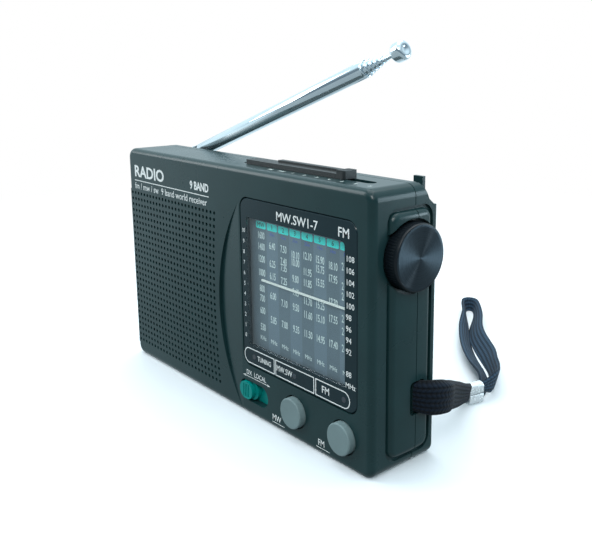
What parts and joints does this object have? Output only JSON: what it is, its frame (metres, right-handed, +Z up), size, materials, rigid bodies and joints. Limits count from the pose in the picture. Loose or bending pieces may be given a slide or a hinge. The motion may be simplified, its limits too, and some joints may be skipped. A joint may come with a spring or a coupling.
{
  "type": "shortwave receiver",
  "caption": "Pocket world-band radio with perforated speaker panel, slide-rule dial, side tuning knob, telescopic aerial and wrist strap.",
  "frame": {"origin": "centre of the case's base, midway between its left and right sides and between its front and rear faces", "axes": "+Z up, -Y the way the dial and speaker face, +X to the right seen from the front"},
  "size_m": [0.1245, 0.1254, 0.1055],
  "materials": {
    "case_plastic": "fine moulded texture, dark grey-green",
    "window_plastic": "clear window with a black printed border",
    "scale_card": "slate grey printed scale",
    "pointer_cream": "cream",
    "teal_plastic": "teal",
    "grey_plastic": "light grey",
    "knob_plastic": "charcoal with a spun face",
    "dark_plastic": "charcoal",
    "plated_steel": "plated",
    "aerial_chrome": "polished",
    "strap_nylon": "woven navy-black tape",
    "crimp_metal": "bright pressed metal",
    "circuit_board": "green solder mask",
    "black_plastic": "black",
    "white_plastic": "off-white",
    "speaker_steel": "pressed",
    "cone_paper": "black paper cone",
    "ferrite": "sintered",
    "copper_wire": "enamelled winding",
    "turned_brass": "turned",
    "cord_fibre": "twisted fibre",
    "cell_jacket": "printed jacket",
    "red_lamp": "diffused",
    "green_lamp": "diffused"
  },
  "bodies": {
    "case": {"front_shell": "case_plastic", "rear_shell": "case_plastic", "speaker_grille": "case_plastic", "dial_lens": "window_plastic", "dial_scale": "scale_card", "pointer_rail": "plated_steel", "idler_pins": "plated_steel", "case_screws": "plated_steel", "contact_plate": "plated_steel", "contact_spring": "plated_steel", "volume_pot": "plated_steel", "if_transformers": "plated_steel", "strap_lead": "strap_nylon", "strap_loop": "strap_nylon", "strap_crimp": "crimp_metal", "main_board": "circuit_board", "switch_board": "circuit_board", "mw_switch": "black_plastic", "fm_switch": "black_plastic", "dx_switch_body": "black_plastic", "band_switch_body": "black_plastic", "receiver_chip": "black_plastic", "earphone_jack": "black_plastic", "rod_holder": "black_plastic", "shaft_bracket": "black_plastic", "electrolytic_capacitors": "black_plastic", "tuning_capacitor": "white_plastic", "speaker_frame": "speaker_steel", "speaker_cone": "cone_paper", "speaker_magnet": "ferrite", "ferrite_rod": "ferrite", "antenna_coil": "copper_wire", "dial_cord": "cord_fibre", "battery_cells": "cell_jacket", "tuning_led": "red_lamp", "mw_led": "green_lamp", "fm_led": "green_lamp"},
    "door": {"battery_door": "case_plastic"},
    "knob": {"tuning_knob": "knob_plastic", "tuning_shaft": "plated_steel"},
    "pointer": {"dial_pointer": "pointer_cream"},
    "drum": {"dial_drum": "white_plastic", "capacitor_shaft": "turned_brass"},
    "upper_idler": {"upper_idler": "white_plastic"},
    "lower_idler": {"lower_idler": "white_plastic"},
    "mw_button": {"mw_button": "grey_plastic"},
    "fm_button": {"fm_button": "grey_plastic"},
    "dx_slider": {"dx_switch_knob": "teal_plastic"},
    "band_slider": {"band_slider": "dark_plastic"},
    "volume_wheel": {"volume_wheel": "dark_plastic"},
    "aerial_base": {"antenna_swivel": "aerial_chrome", "antenna_pivot_pin": "aerial_chrome"},
    "aerial_1": {"antenna_tube_1": "aerial_chrome"},
    "aerial_2": {"antenna_tube_2": "aerial_chrome"},
    "aerial_3": {"antenna_tube_3": "aerial_chrome"},
    "aerial_4": {"antenna_tube_4": "aerial_chrome"},
    "aerial_5": {"antenna_tube_5": "aerial_chrome"},
    "aerial_6": {"antenna_tube_6": "aerial_chrome"},
    "aerial_7": {"antenna_rod": "aerial_chrome", "antenna_tip": "aerial_chrome"}
  },
  "joints": [
    {"name": "pointer_travel", "type": "slide", "parent": "case", "child": "pointer", "axis": [0, 0, 1], "range_m": [-0.0156, 0.0149]},
    {"name": "tuning_turn", "type": "hinge", "parent": "case", "child": "knob", "pos_m": [0.0602, 0.0015, 0.0548], "axis": [1, 0, 0], "range_deg": [-372, 389.5]},
    {"name": "drum_turn", "type": "hinge", "parent": "case", "child": "drum", "pos_m": [0.028, -0.0008, 0.046], "axis": [0, 1, 0], "range_deg": [-80.8, 84.6]},
    {"name": "upper_idler_turn", "type": "hinge", "parent": "case", "child": "upper_idler", "pos_m": [0.0509, -0.0008, 0.066], "axis": [0, 1, 0], "range_deg": [-335.5, 351.5]},
    {"name": "lower_idler_turn", "type": "hinge", "parent": "case", "child": "lower_idler", "pos_m": [0.0509, -0.0008, 0.0205], "axis": [0, 1, 0], "range_deg": [-335.5, 351.5]},
    {"name": "mw_press", "type": "slide", "parent": "case", "child": "mw_button", "axis": [0, 1, 0], "range_m": [0, 0.0006], "stiffness_N_per_m": 400, "springref_m": -0.0002},
    {"name": "fm_press", "type": "slide", "parent": "case", "child": "fm_button", "axis": [0, 1, 0], "range_m": [0, 0.0006], "stiffness_N_per_m": 400, "springref_m": -0.0002},
    {"name": "dx_slide", "type": "slide", "parent": "case", "child": "dx_slider", "axis": [1, 0, 0], "range_m": [0, 0.0055]},
    {"name": "band_slide", "type": "slide", "parent": "case", "child": "band_slider", "axis": [1, 0, 0], "range_m": [-0.003, 0.0085]},
    {"name": "volume_turn", "type": "hinge", "parent": "case", "child": "volume_wheel", "pos_m": [-0.0525, -0.0001, 0.052], "axis": [0, 1, 0], "range_deg": [-150, 150]},
    {"name": "door_slide", "type": "slide", "parent": "case", "child": "door", "axis": [-1, 0, 0], "range_m": [0, 0.008]},
    {"name": "aerial_swivel", "type": "hinge", "parent": "case", "child": "aerial_base", "pos_m": [-0.05, 0.0086, 0.069], "axis": [0, 0, 1], "range_deg": [0, 180]},
    {"name": "aerial_tilt", "type": "hinge", "parent": "aerial_base", "child": "aerial_1", "pos_m": [-0.05, 0.0086, 0.069], "axis": [0, -1, 0], "range_deg": [-19, 71]},
    {"name": "aerial_section_2", "type": "slide", "parent": "aerial_1", "child": "aerial_2", "axis": [0.9455, 0, 0.3256], "range_m": [0, 0.072]},
    {"name": "aerial_section_3", "type": "slide", "parent": "aerial_2", "child": "aerial_3", "axis": [0.9455, 0, 0.3256], "range_m": [0, 0.072]},
    {"name": "aerial_section_4", "type": "slide", "parent": "aerial_3", "child": "aerial_4", "axis": [0.9455, 0, 0.3256], "range_m": [0, 0.072]},
    {"name": "aerial_section_5", "type": "slide", "parent": "aerial_4", "child": "aerial_5", "axis": [0.9455, 0, 0.3256], "range_m": [0, 0.072]},
    {"name": "aerial_section_6", "type": "slide", "parent": "aerial_5", "child": "aerial_6", "axis": [0.9455, 0, 0.3256], "range_m": [0, 0.072]},
    {"name": "aerial_section_7", "type": "slide", "parent": "aerial_6", "child": "aerial_7", "axis": [0.9455, 0, 0.3256], "range_m": [0, 0.072]}
  ],
  "couplings": [
    {"joint": "tuning_turn", "follows": "pointer_travel", "rad_per_m": -434.78},
    {"joint": "drum_turn", "follows": "pointer_travel", "rad_per_m": -94.34},
    {"joint": "upper_idler_turn", "follows": "pointer_travel", "rad_per_m": -392.16},
    {"joint": "lower_idler_turn", "follows": "pointer_travel", "rad_per_m": -392.16}
  ]
}
